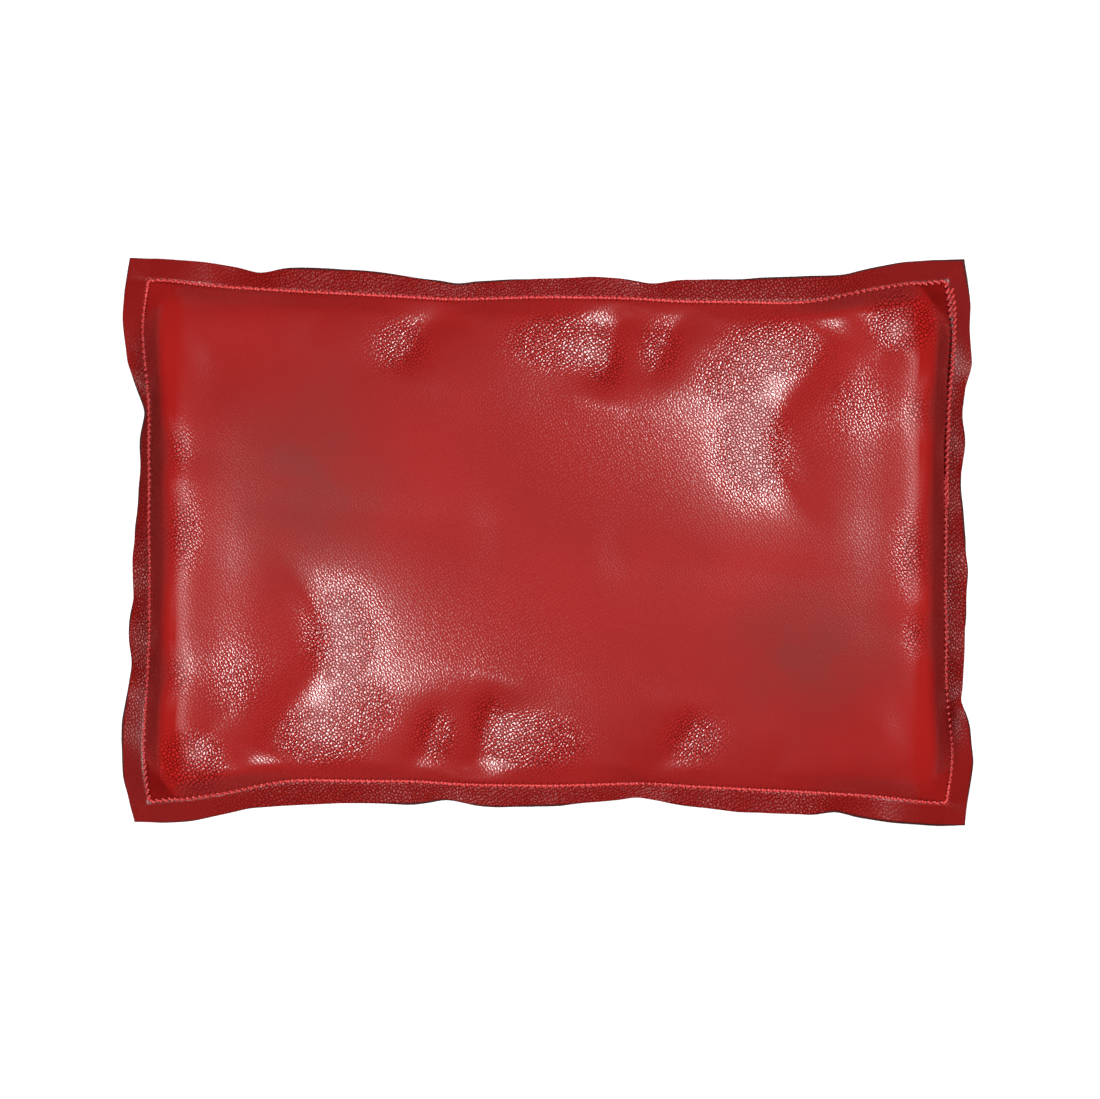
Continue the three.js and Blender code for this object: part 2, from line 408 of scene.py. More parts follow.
OPEN_PATCHES = [
    # centre, radii, strength
    ((118, 100), (44, 26), 1.0),
    ((98, 84), (34, 30), 0.8),
    ((106, 50), (34, 46), 0.9),
    ((8, 104), (46, 24), 1.0),
    ((30, 94), (18, 26), 0.8),
    ((58, 100), (20, 24), 0.8),
    ((-76, 102), (26, 24), 0.7),
    ((184, 114), (28, 26), 1.0),
    ((188, -6), (16, 34), 0.6),
    ((190, 68), (12, 24), 0.5),
    ((190, -48), (12, 20), 0.5),
    ((160, 72), (34, 34), 0.45),
    ((36, 56), (104, 70), 0.14),
    ((150, 70), (60, 60), 0.2),
]
# Matt patches, which also get a painted greyish sheen in the leather's colour
DULL_SHEEN_PATCHES = [
    # centre, radii, strength
    ((-126, 32), (66, 84), 1.0),
    ((136, -58), (74, 50), 1.0),
]


def patches(x, y, patch_list, turns=(1, -1)):
    """Soft spots; by default each is there twice, turned half round about the bag's middle."""
    total = np.zeros(x.shape)
    for (at_x, at_y), (wide, tall), strength in patch_list:
        for turned in turns:
            away = ((x - turned * at_x) / wide) ** 2 + ((y - turned * at_y) / tall) ** 2
            total = np.maximum(total, strength * (1 - smooth_step(np.sqrt(away))))
    return total


# The top's creases, each steeper on one side than on the other, and there twice: as it is, and turned
# half way round

CREASES = [
    # points from the seam inwards, depth, width of the side towards +X, width of the other side
    (
        [
            (154.6, 126.8), (146, 103), (132, 82), (119.5, 70), (114, 56), (117, 40), (128, 22),
            (140, 4), (150, -8),
        ],
        7.2, 22, 31,
    ),
    ([(40.7, 128), (34.4, 105.8), (29.7, 87.4), (24.4, 66)], 6.4, 14, 33),
    ([(75.9, 126), (65.4, 108.4), (56.4, 90), (51.7, 72)], 3.2, 10, 16),
    ([(-51.2, 127), (-62.7, 111), (-75.3, 95.3), (-77.4, 76)], 4.2, 14, 21),
    ([(-114.2, 129.4), (-120.5, 111), (-130, 95.3)], 1.4, 12, 14),
    ([(205, 134), (199, 121), (192, 106), (186, 92)], 2.2, 8, 26),
    ([(20, -8), (90, -14), (140, -18), (178, -22)], 1.2, 20, 20),
]
CREASE_ROUNDING = 0.2  # of its bottom, as a share of its width
CREASE_START = 0.15  # the share of its run over which it comes in
CREASE_END = 0.4  # the share over which it fades out
FAR_AWAY = 1e9


def rounded_path(points, step=3.0):
    """The places of a path of a few points, with its corners rounded off."""
    points = np.array(points, float)
    run = np.concatenate([[0], np.cumsum(np.hypot(*np.diff(points, axis=0).T))])
    at = np.arange(0, run[-1], step)
    smooth = [soft_curve(list(zip(run, along)), at, softness=7.0) for along in points.T]
    return np.stack(smooth, -1)


def crease(x, y, points, depth, right_width, left_width):
    """One crease's height, below 0, and the distance to its line."""
    path = rounded_path(points)
    nearest = np.full(x.shape, FAR_AWAY)
    side = np.zeros(x.shape)
    place = np.zeros(x.shape)
    for i, (start, end) in enumerate(zip(path, path[1:])):
        step = end - start
        from_x = x - start[0]
        from_y = y - start[1]
        t = np.clip((from_x * step[0] + from_y * step[1]) / (step @ step), 0, 1)
        away = np.hypot(from_x - t * step[0], from_y - t * step[1])
        closer = away < nearest
        nearest = np.where(closer, away, nearest)
        side = np.where(closer, step[0] * from_y - step[1] * from_x, side)
        place = np.where(closer, (i + t) / (len(path) - 1), place)
    width = np.where(side > 0, right_width, left_width)
    rounded = np.sqrt((nearest / width) ** 2 + CREASE_ROUNDING**2) - CREASE_ROUNDING
    profile = np.exp(-rounded)
    fade = smooth_step(place / CREASE_START) * smooth_step((1 - place) / CREASE_END)
    return -depth * profile * fade, nearest


def top_relief(x, y, inside):
    """The creases: sharp along their lines, and blended into one another away from them."""
    relief = np.zeros(x.shape)
    nearest = np.full(x.shape, FAR_AWAY)
    for points, depth, right_width, left_width in CREASES:
        for turned in (1, -1):
            drop, away = crease(turned * x, turned * y, points, depth, right_width, left_width)
            relief += drop
            nearest = np.minimum(nearest, away)
    relief *= smooth_step(inside / 14)
    return relief + (blur(relief, 90) - relief) * smooth_step((nearest - 8) / 24)


# The top's height under the weight of the fill, which is flatter than air alone would give it

SUNKEN_CORNER = 15.0  # the size of the empty triangle at a corner
CORNER_LEAN = 0.62  # how its edge slants


def swell(distance, half, wall_share, wall, crown, rounding):
    """The share of its full height that the top has at a distance inside the seam.

    A wall that wide gives wall_share of it, with its top corner rounded, and a low crown, which
    levels off over the crown's length, gives the rest.
    """
    low_crown = 1 - np.exp(-distance / crown) - distance / crown * math.exp(-half / crown)
    highest = 1 - math.exp(-half / crown) * (1 + half / crown)
    wall_line = [(0, 0), (wall, 1), (half, 1)]
    steep = np.where(distance <= 0, 0, soft_curve(wall_line, distance, rounding))
    return wall_share * steep + (1 - wall_share) * low_crown / highest


# Where an end's shoulder is rounder, so that it shines: (place along the end, half length)
ROUNDED_SHOULDERS = [(-2, 26), (70, 10), (-47, 12)]


def shoulder_roundness(p, q):
    """1 where the shoulder is rounder and 0 elsewhere, at the right end and, turned, at the left."""
    turned = q * np.sign(p)
    spots = [np.exp(-(((turned - y) / half) ** 2)) for y, half in ROUNDED_SHOULDERS]
    return np.maximum.reduce(spots)


def crown_height(p, q):
    """The inner height of the top over the whole body, without its creases."""
    from_end = np.maximum(SEAM_HALF_X - np.abs(p), 0)
    from_side = np.maximum(SEAM_HALF_Y - np.abs(q), 0)
    sharp_end = swell(from_end, SEAM_HALF_X, wall_share=0.7, wall=9, crown=44, rounding=0.9)
    rounded_end = swell(from_end, SEAM_HALF_X, wall_share=0.62, wall=9, crown=36, rounding=4.5)
    full = sharp_end + (rounded_end - sharp_end) * shoulder_roundness(p, q)
    gentle_side = swell(from_side, SEAM_HALF_Y, wall_share=0.15, wall=10, crown=38, rounding=2.0)
    blown_side = swell(from_side, SEAM_HALF_Y, wall_share=0.5, wall=8, crown=38, rounding=2.0)
    blown_corner = smooth_step((p * np.sign(q) - 120) / 40)
    full *= gentle_side + (blown_side - gentle_side) * blown_corner
    past_edge = from_end + CORNER_LEAN * from_side - SUNKEN_CORNER
    steep_lip = 0.85 * smooth_step(past_edge / 3.5)
    gentle_lip = 0.15 * (1 - np.exp(-np.maximum(past_edge, 0) / 20))
    empty = (p * q > 0) * (1 - steep_lip - gentle_lip)
    seam = seam_height(p, q)
    crown = HEIGHT - LEATHER - 0.5 - seam
    return seam + crown * full * (1 - empty)


def settle(upper, p, q):
    """The upper panel's plan and puckers from the simulation, without the simulation's own crown."""
    inside = seam_distance(p, q)
    near_seam = smooth_step(inside / 8) * smooth_step((45 - inside) / 30)
    inner = smooth_step((inside - 10) / 30)[..., None]
    settled = upper + (blur(upper, 40) - upper) * inner
    settled[..., 2] = 0.5 * (upper[..., 2] - blur(upper, 30)[..., 2]) * near_seam
    return settled


# The panels' surfaces, on lines that are closer together beside the seam and in the margin

LINE_SPACING = 2.25
SEAM_BAND = 14.8
NEAR_SEAM = [0, 0.7, 1.5, 2.6, 3.9, 5.3, 6.6, 7.8, 8.8, 9.8, 11.0, 12.6]
MARGIN_STEPS = [0.06, 0.13, 0.22, 0.34, 0.48, 0.62, 0.76, 0.88, 0.96, 1.0]  # shares of its width


def lines(half, outer):
    """The places of a panel's lines in one direction, with its seam at half and its edge at outer."""
    body_end = half - SEAM_BAND
    body = np.linspace(0, body_end, round(body_end / LINE_SPACING) + 1)
    beside_seam = half - np.array(NEAR_SEAM)[::-1]
    margin = half + (outer - half) * np.array(MARGIN_STEPS)
    positive = np.concatenate([body, beside_seam, margin])
    return np.concatenate([-positive[:0:-1], positive])


def panel_grids():
    """Places on the panel, and the inner surfaces of the upper and the lower panel there."""
    upper, lower = simulated_panels()
    _, _, sim_p, sim_q = sim_places()
    upper = settle(blur(upper, 6), sim_p, sim_q)
    lower = blur(lower, 3)
    ps = lines(SEAM_HALF_X, HALF_LENGTH)
    qs = lines(SEAM_HALF_Y, HALF_WIDTH)
    p, q = np.meshgrid(ps, qs)
    body_u = np.clip(ps / SEAM_HALF_X, -1, 1)
    body_v = np.clip(qs / SEAM_HALF_Y, -1, 1)
    x, y = plan(p, q)
    margin = np.stack([x, y, margin_height(p, q)], -1)
    in_body = ((np.abs(p) <= SEAM_HALF_X) & (np.abs(q) <= SEAM_HALF_Y))[..., None]
    upper = np.where(in_body, refine(upper, body_u, body_v), margin)
    lower = np.where(in_body, refine(lower, body_u, body_v), margin)
    upper[..., 2] += in_body[..., 0] * crown_height(p, q)
    upper[..., 2] += top_relief(upper[..., 0], upper[..., 1], seam_distance(p, q))
    return p, q, upper, lower


def offset(grid, distance, p, q):
    """A surface at a distance from a grid: along its normals, and straight up or down in the margin."""
    upright = smooth_step(-seam_distance(p, q) / 6)[..., None]
    towards = grid_normals(grid) * (1 - upright) + UP * upright
    return grid + towards * distance


MOST_OVERHANG = 1.1
OVERHANG_WAVES = [(0.45, 7, 1.0), (0.35, 19, 0), (0.2, 43, 0)]


def overhang(p, q):
    """How far the lower panel's cut edge strays out from under the upper one's, as a plan shift."""
    stray = np.clip(0.5 + waves(turn_round(p, q), OVERHANG_WAVES), 0, 1)
    end = margin_share(p, SEAM_HALF_X) ** 2
    side = margin_share(q, SEAM_HALF_Y) ** 2
    shift = np.stack([np.sign(p) * end, np.sign(q) * side, np.zeros(p.shape)], -1)
    return shift * stray[..., None] * MOST_OVERHANG


def panel_surfaces():
    """The panels' places on the cut leather, and their inner and outer surfaces."""
    p, q, upper, lower = panel_grids()
    lower = lower + overhang(p, q)
    half_gap = UP * PANEL_GAP / 2
    upper_inner = blur(upper, 2) + half_gap
    lower_inner = blur(lower, 2) - half_gap
    upper_outer = offset(upper_inner, LEATHER, p, q)
    lower_outer = offset(lower_inner, -LEATHER, p, q)
    add_furrow(upper_outer, p, q, 1)
    add_furrow(lower_outer, p, q, -1)
    lower_outer[..., 2] = np.maximum(lower_outer[..., 2], REST)
    lower_inner[..., 2] = np.maximum(lower_inner[..., 2], LEATHER)
    return p, q, upper_inner, upper_outer, lower_inner, lower_outer


FURROW = 0.6  # its depth
FURROW_WIDTH = 1.1


def add_furrow(surface, p, q, side):
    """Presses the stitched line into the leather's outer surface."""
    away = np.minimum(np.abs(np.abs(p) - SEAM_HALF_X), np.abs(np.abs(q) - SEAM_HALF_Y))
    on_seam = (np.abs(p) < SEAM_HALF_X + 1) & (np.abs(q) < SEAM_HALF_Y + 1)
    surface[..., 2] -= side * FURROW * np.exp(-((away / FURROW_WIDTH) ** 2)) * on_seam


def within(grid, p, q, inset):
    """The part of a grid that is at least the inset inside the seam, at every other line."""
    rows = np.flatnonzero(np.abs(q[:, 0]) <= SEAM_HALF_Y - inset)[::2]
    columns = np.flatnonzero(np.abs(p[0]) <= SEAM_HALF_X - inset)[::2]
    return grid[np.ix_(rows, columns)]


def cut_uv(p, q):
    """The places on the flat leather, in metres, for the two sides of a shell."""
    places = np.stack([p, q], -1).reshape(-1, 2) * FLAT_SCALE * MM
    return np.concatenate([places, places])


def add_value(piece, name, values):
    """A number for each place on the panel, which the leather's material reads."""
    layer = piece.data.attributes.new(name, "FLOAT", "POINT")
    layer.data.foreach_set("value", np.concatenate([values.ravel()] * 2).astype(np.float32))


def end_wall(p, q):
    """1 in the steep strip inside each end's seam and in the sunken corners, where little light falls."""
    from_end = SEAM_HALF_X - np.abs(p)
    from_side = SEAM_HALF_Y - np.abs(q)
    wall = smooth_step((13 - from_end) / 7) * smooth_step((from_side - 12) / 25)
    inside_edge = SUNKEN_CORNER + 3 - from_end - CORNER_LEAN * from_side
    sunken = smooth_step(inside_edge / 4) * (p * q > 0)
    return np.maximum(wall, sunken)


RUBBED_LINE = 196.0  # where the ends' shoulders are most rubbed


def lost_shine(x, p, q):
    """Where the ends' shoulders, the seams, the margin and the sunken corners have lost their shine."""
    inside = seam_distance(p, q)
    shoulder = np.minimum(1.12 * np.exp(-(((np.abs(x) - RUBBED_LINE) / 12) ** 2)), 1)
    shoulder *= (1 - 0.25 * shoulder_roundness(p, q)) * smooth_step((inside - 1) / 7)
    from_corner = np.hypot(SEAM_HALF_X - np.abs(p), SEAM_HALF_Y - np.abs(q))
    corner = smooth_step((26 - from_corner) / 10) * (inside > 0)
    seam = np.exp(-((inside / 2.2) ** 2))
    margin = 0.8 * smooth_step(-inside / 3)
    return np.maximum.reduce([shoulder, corner, seam, margin])


MOST_OPEN_GRAIN = 0.5


def make_panels(p, q, upper_inner, upper_outer, lower_inner, lower_outer):
    """The two leather panels, with the values that their material reads."""
    top = shell("top_leather", upper_outer, upper_inner, True)
    bottom = shell("bottom_leather", lower_outer, lower_inner, False)
    past_seam = -seam_distance(p, q)
    in_margin = past_seam > 0
    from_corner = np.hypot(HALF_LENGTH - np.abs(p), HALF_WIDTH - np.abs(q))
    margin_grain = 0.1 + 0.45 * smooth_step((from_corner - 30) / 50)
    for piece, surface in ((top, upper_outer), (bottom, lower_outer)):
        add_uv(piece, "cut", cut_uv(p, q))
        x, y = surface[..., 0], surface[..., 1]
        body_grain = np.minimum(patches(x, y, OPEN_PATCHES), MOST_OPEN_GRAIN)
        add_value(piece, "open_grain", np.where(in_margin, margin_grain, body_grain))
        # A matt finish with a painted greyish sheen
        add_value(piece, "dull_and_painted_sheen", patches(x, y, DULL_SHEEN_PATCHES, turns=(1,)) * ~in_margin)
        # Painted shade on the margin, on the ends' steep walls and in the sunken corners, where little
        # light falls
        add_value(piece, "painted_edge_shade", np.maximum(smooth_step(past_seam / 3), end_wall(p, q)))
        add_value(piece, "rubbed", lost_shine(x, p, q))
    return top, bottom


LEATHER_CLEARANCE = 0.3  # between the sack and the leather
PLY_GAP = 0.05  # between the sack's halves and their middle at the hem
FULL_INSIDE_HEM = 9.0  # how far inside its hem the sack is full


def make_contents(p, q, upper_inner, lower_inner):
    """The canvas sack's two halves and the sand, each filling the one round it."""
    under = within(upper_inner, p, q, LINER_INSET)
    over = within(lower_inner, p, q, LINER_INSET)
    places = within(np.stack([p, q], -1), p, q, LINER_INSET)
    p, q = places[..., 0], places[..., 1]
    middle = (under + over) / 2
    inside_hem = seam_distance(p, q) - LINER_INSET - LINER_HEM
    full = rise(inside_hem / FULL_INSIDE_HEM)[..., None]
    gap = UP * PLY_GAP
    sides = []
    for skin, side in ((under, 1), (over, -1)):
        normals = grid_normals(skin)
        body = middle + (skin - middle) * full - side * normals * (LEATHER_CLEARANCE * full)
        outer = body + side * gap + side * UP * CANVAS * (1 - full)
        across = normals * full + UP * (1 - full)
        sides.append((outer, outer - side * across * CANVAS))
    (upper_out, upper_in), (lower_out, lower_in) = sides
    liners = (
        shell("upper_liner", upper_out, upper_in, True),
        shell("lower_liner", lower_out, lower_in, False),
    )
    for liner in liners:
        add_uv(liner, "cut", cut_uv(p, q))
    fill_top = within(upper_in - gap * 2, p, q, FILL_INSET)
    fill_base = within(lower_in + gap * 2, p, q, FILL_INSET)
    sand = shell("sand", fill_top, fill_base, True)
    return liners, sand


# Threads: one needle thread on top and one bobbin thread beneath for each row of stitches

PITCH_X = 2 * SEAM_HALF_X / 128  # a stitch's length along the long sides
PITCH_Y = 2 * SEAM_HALF_Y / 84  # and along the ends
OPENING = (34.0, 118.0)  # for the filling, at the right end
CLOSING_OVERLAP = 16.0  # of the closing row past the opening, each way
CLOSING_OUTSIDE = 2.6  # of the closing row from the seam
THREAD_RADIUS = 0.8
STITCH_SLANT = 0.95  # how far a stitch's ends lie to the sides of its row
STITCH_ALONG = np.array([0.0, 0.07, 0.2, 0.36, 0.5, 0.64, 0.8, 0.93])
STITCH_HEIGHT = np.array([-1.1, -0.35, 0.3, 0.55, 0.6, 0.55, 0.3, -0.35])
STITCH_SIDEWAYS = STITCH_SLANT * np.array([0, 1, 0.8, 0.4, 0, -0.4, -0.8, -1])


def row_holes(corners):
    """The needle holes of a row that runs straight from corner to corner."""
    holes = [np.array(corners[0])]
    for start, end in zip(corners, corners[1:]):
        start, end = np.array(start), np.array(end)
        pitch = PITCH_X if abs(end[0] - start[0]) > abs(end[1] - start[1]) else PITCH_Y
        count = max(1, round(np.hypot(*(end - start)) / pitch))
        holes += [start + (end - start) * (i + 1) / count for i in range(count)]
    return np.array(holes)


def stitch_places(holes):
    """A thread's places along its row, and its height there over the leather."""
    places, heights = [], []
    for start, end in zip(holes, holes[1:]):
        step = end - start
        across = np.array([-step[1], step[0]]) / np.hypot(*step)
        places.append(start + STITCH_ALONG[:, None] * step + STITCH_SIDEWAYS[:, None] * across)
        heights.append(STITCH_HEIGHT)
    places.append(holes[-1:])
    heights.append(STITCH_HEIGHT[:1])
    return np.concatenate(places), np.concatenate(heights)


def on_surface(surface, p, q, places):
    """Where places on the panel lie on one of its surfaces."""
    ps, qs = p[0], q[:, 0]
    i = np.clip(np.searchsorted(ps, places[:, 0]) - 1, 0, len(ps) - 2)
    j = np.clip(np.searchsorted(qs, places[:, 1]) - 1, 0, len(qs) - 2)
    a = ((places[:, 0] - ps[i]) / (ps[i + 1] - ps[i]))[:, None]
    b = ((places[:, 1] - qs[j]) / (qs[j + 1] - qs[j]))[:, None]
    low = surface[j, i] * (1 - a) + surface[j, i + 1] * a
    high = surface[j + 1, i] * (1 - a) + surface[j + 1, i + 1] * a
    return low * (1 - b) + high * b


def unit(vectors):
    return vectors / np.linalg.norm(vectors, axis=-1, keepdims=True)


def tube(name, path, ups, radius, sides=6):
    """A closed round tube along a path, with the place along it and round it as its UV map."""
    forward = unit(np.gradient(path, axis=0))
    across = unit(np.cross(forward, ups))
    up = np.cross(across, forward)
    turn = np.linspace(0, 2 * math.pi, sides, endpoint=False)
    ring = across[:, None] * np.cos(turn)[:, None] + up[:, None] * np.sin(turn)[:, None]
    points = (path[:, None] + ring * radius).reshape(-1, 3)
    faces = []
    for i in range(len(path) - 1):
        for j in range(sides):
            a, b = i * sides + j, i * sides + (j + 1) % sides
            faces.append((a, b, b + sides, a + sides))
    faces.append(tuple(range(sides))[::-1])
    faces.append(tuple(range((len(path) - 1) * sides, len(path) * sides)))
    piece = new_mesh(name, points * MM, faces)
    shade_smooth(piece)
    run = np.concatenate([[0], np.cumsum(np.linalg.norm(np.diff(path, axis=0), axis=1))])
    coordinates = np.stack(np.broadcast_arrays(run[:, None] * MM, turn / (2 * math.pi)), -1)
    add_uv(piece, "run", coordinates.reshape(-1, 2))
    return piece


def make_threads(p, q, upper_outer, lower_outer):
    """The threads, by the CAD node that each stands for."""
    x, y, closing_x = SEAM_HALF_X, SEAM_HALF_Y, SEAM_HALF_X + CLOSING_OUTSIDE
    low, high = OPENING
    rows = {
        "seam": [(x, low), (x, -y), (-x, -y), (-x, y), (x, y), (x, high)],
        "closing": [(closing_x, high + CLOSING_OVERLAP), (closing_x, low - CLOSING_OVERLAP)],
    }
    threads = {}
    for row, corners in rows.items():
        places, heights = stitch_places(row_holes(corners))
        for kind, surface, side in (("needle", upper_outer, 1), ("bobbin", lower_outer, -1)):
            ups = side * unit(on_surface(grid_normals(surface), p, q, places))
            path = on_surface(surface, p, q, places) + ups * heights[:, None]
            name = f"{row}_{kind}_stitches"
            threads[f"{row}_{kind}_thread"] = tube(name, path, ups, THREAD_RADIUS)
    return threads


# Materials


def node(tree, kind, **values):
    """A new node, with its inputs or settings given by name."""
    made = tree.nodes.new(kind)
    for name, value in values.items():
        if name in made.inputs:
            made.inputs[name].default_value = value
        else:
            setattr(made, name, value)
    return made


def calc(tree, operation, *operands, clamp=False):
    """A Math node fed by sockets or numbers; gives its output."""
    made = tree.nodes.new("ShaderNodeMath")
    made.operation = operation
    made.use_clamp = clamp
    for socket, operand in zip(made.inputs, operands):
        if isinstance(operand, (int, float)):
            socket.default_value = operand
        else:
            tree.links.new(operand, socket)
    return made.outputs[0]


def mixed(tree, share, first, second):
    """A colour that goes from the first to the second by a share from a socket."""
    made = tree.nodes.new("ShaderNodeMix")
    made.data_type = "RGBA"
    inputs = {socket.identifier: socket for socket in made.inputs}
    wanted = {"Factor_Float": share, "A_Color": first, "B_Color": second}
    for identifier, source in wanted.items():
        if isinstance(source, bpy.types.NodeSocket):
            tree.links.new(source, inputs[identifier])
        else:
            inputs[identifier].default_value = source
    return next(socket for socket in made.outputs if socket.type == "RGBA")


def ramp(tree, amount, low, low_colour, high, high_colour):
    """A colour that goes from one to another as the amount goes from low to high."""
    made = node(tree, "ShaderNodeValToRGB")
    first, last = made.color_ramp.elements
    first.position = low
    first.color = low_colour
    last.position = high
    last.color = high_colour
    tree.links.new(amount, made.inputs["Fac"])
    return made.outputs["Color"]


def bumped(tree, shader, height, distance, strength):
    """Gives the shader a relief; the strength is a number or a socket."""
    bump = node(tree, "ShaderNodeBump", Distance=distance)
    if isinstance(strength, bpy.types.NodeSocket):
        tree.links.new(strength, bump.inputs["Strength"])
    else:
        bump.inputs["Strength"].default_value = strength
    tree.links.new(height, bump.inputs["Height"])
    tree.links.new(bump.outputs[0], shader.inputs["Normal"])
    return bump


def new_material(name):
    """A material, its node tree and its shader."""
    material = bpy.data.materials.new(name)
    material.use_nodes = True
    tree = material.node_tree
    return material, tree, tree.nodes["Principled BSDF"]


def noise(tree, place, scale, detail):
    made = node(tree, "ShaderNodeTexNoise", Scale=scale, Detail=detail)
    tree.links.new(place, made.inputs["Vector"])
    return made


def eased(tree, amount, low, high):
    """0 below low, 1 above high, and a smooth rise between."""
    step = node(tree, "ShaderNodeMapRange", interpolation_type="SMOOTHSTEP")
    step.inputs["From Min"].default_value = low
    step.inputs["From Max"].default_value = high
    tree.links.new(amount, step.inputs["Value"])
    return step.outputs[0]


# The painted shade of the needle holes: an oval round each hole, stretched across its row so that it
# reaches beside the stitches
HOLE_RADIUS = 0.5
HOLE_BLUR = 0.6
HOLE_ALONG = 1.2  # a hole is narrower along its row
HOLE_ACROSS = 0.45  # and longer across it


def needle_hole_shade(tree, cut_place):
    """1 where the seam's needle holes and the shadow beside its stitches are painted dark, 0 elsewhere,
    worked out from the place on the cut leather.
    """
    apart = tree.nodes.new("ShaderNodeSeparateXYZ")
    tree.links.new(cut_place, apart.inputs[0])
    p = calc(tree, "MULTIPLY", apart.outputs[0], 1 / (FLAT_SCALE * MM))
    q = calc(tree, "MULTIPLY", apart.outputs[1], 1 / (FLAT_SCALE * MM))
    nearest = []
    rows = ((p, SEAM_HALF_X, PITCH_X, q, SEAM_HALF_Y), (q, SEAM_HALF_Y, PITCH_Y, p, SEAM_HALF_X))
    for along, half, pitch, across, row in rows:
        step = calc(tree, "DIVIDE", calc(tree, "ADD", along, half), pitch)
        from_hole = calc(tree, "MULTIPLY", calc(tree, "PINGPONG", step, 0.5), pitch)
        from_row = calc(tree, "SUBTRACT", calc(tree, "ABSOLUTE", across), row)
        past_end = calc(tree, "SUBTRACT", calc(tree, "ABSOLUTE", along), half + 0.5)
        past_corner = calc(tree, "MAXIMUM", past_end, 0.0)
        a = calc(tree, "MULTIPLY", from_hole, HOLE_ALONG)
        b = calc(tree, "MULTIPLY", from_row, HOLE_ACROSS)
        squared = calc(tree, "ADD", calc(tree, "MULTIPLY", a, a), calc(tree, "MULTIPLY", b, b))
        nearest.append(calc(tree, "ADD", squared, calc(tree, "MULTIPLY", past_corner, 9.0)))
    away = calc(tree, "SQRT", calc(tree, "MINIMUM", *nearest))
    outside = calc(tree, "DIVIDE", calc(tree, "SUBTRACT", away, HOLE_RADIUS), HOLE_BLUR)
    return calc(tree, "SUBTRACT", 1.0, outside, clamp=True)


PEBBLES = 600.0  # per metre
PEBBLE_HEIGHT = 0.00019
PEBBLE_DRIFT = 0.0015  # how far noise moves them, so that their rows aren't straight
PEBBLE_LEAN = 58.0  # degrees
DARK_RED = (0.24, 0.0082, 0.007, 1)
RED = (0.28, 0.0104, 0.009, 1)
# A painted greyish sheen for the matt patches
SHEEN_GREY_RED = (0.19, 0.02, 0.018, 1)
# A lighter red for the open-grain patches, which balances their painted groove shade
PEBBLE_TOP_RED = (0.45, 0.014, 0.012, 1)
# Painted shade in the grain's grooves
GROOVE_SHADE_RED = (0.055, 0.001, 0.001, 1)
# Painted shade for the margin, the ends' steep walls and the sunken corners
EDGE_SHADE_RED = (0.12, 0.004, 0.0035, 1)
# Painted shade in the needle holes and beside the stitches
HOLE_SHADE_RED = (0.03, 0.002, 0.002, 1)


def pebble_distance(tree, place):
    """How far a place is from the grooves between the leather's pebbles."""
    drift = noise(tree, place, 400.0, 2.0)
    shift = node(tree, "ShaderNodeVectorMath", operation="MULTIPLY_ADD")
    shift.inputs[1].default_value = (PEBBLE_DRIFT, PEBBLE_DRIFT, 0.0)
    lean = node(tree, "ShaderNodeMapping")
    lean.inputs["Rotation"].default_value = (0, 0, math.radians(PEBBLE_LEAN))
    stretch = node(tree, "ShaderNodeMapping")
    stretch.inputs["Scale"].default_value = (0.8, 1, 1)
    pebbles = node(
        tree, "ShaderNodeTexVoronoi", voronoi_dimensions="2D", feature="DISTANCE_TO_EDGE", Scale=PEBBLES
    )
    pebbles.inputs["Randomness"].default_value = 0.8
    tree.links.new(drift.outputs["Color"], shift.inputs[0])
    tree.links.new(place, shift.inputs[2])
    tree.links.new(shift.outputs[0], lean.inputs["Vector"])
    tree.links.new(lean.outputs[0], stretch.inputs["Vector"])
    tree.links.new(stretch.outputs[0], pebbles.inputs["Vector"])
    return pebbles.outputs["Distance"]


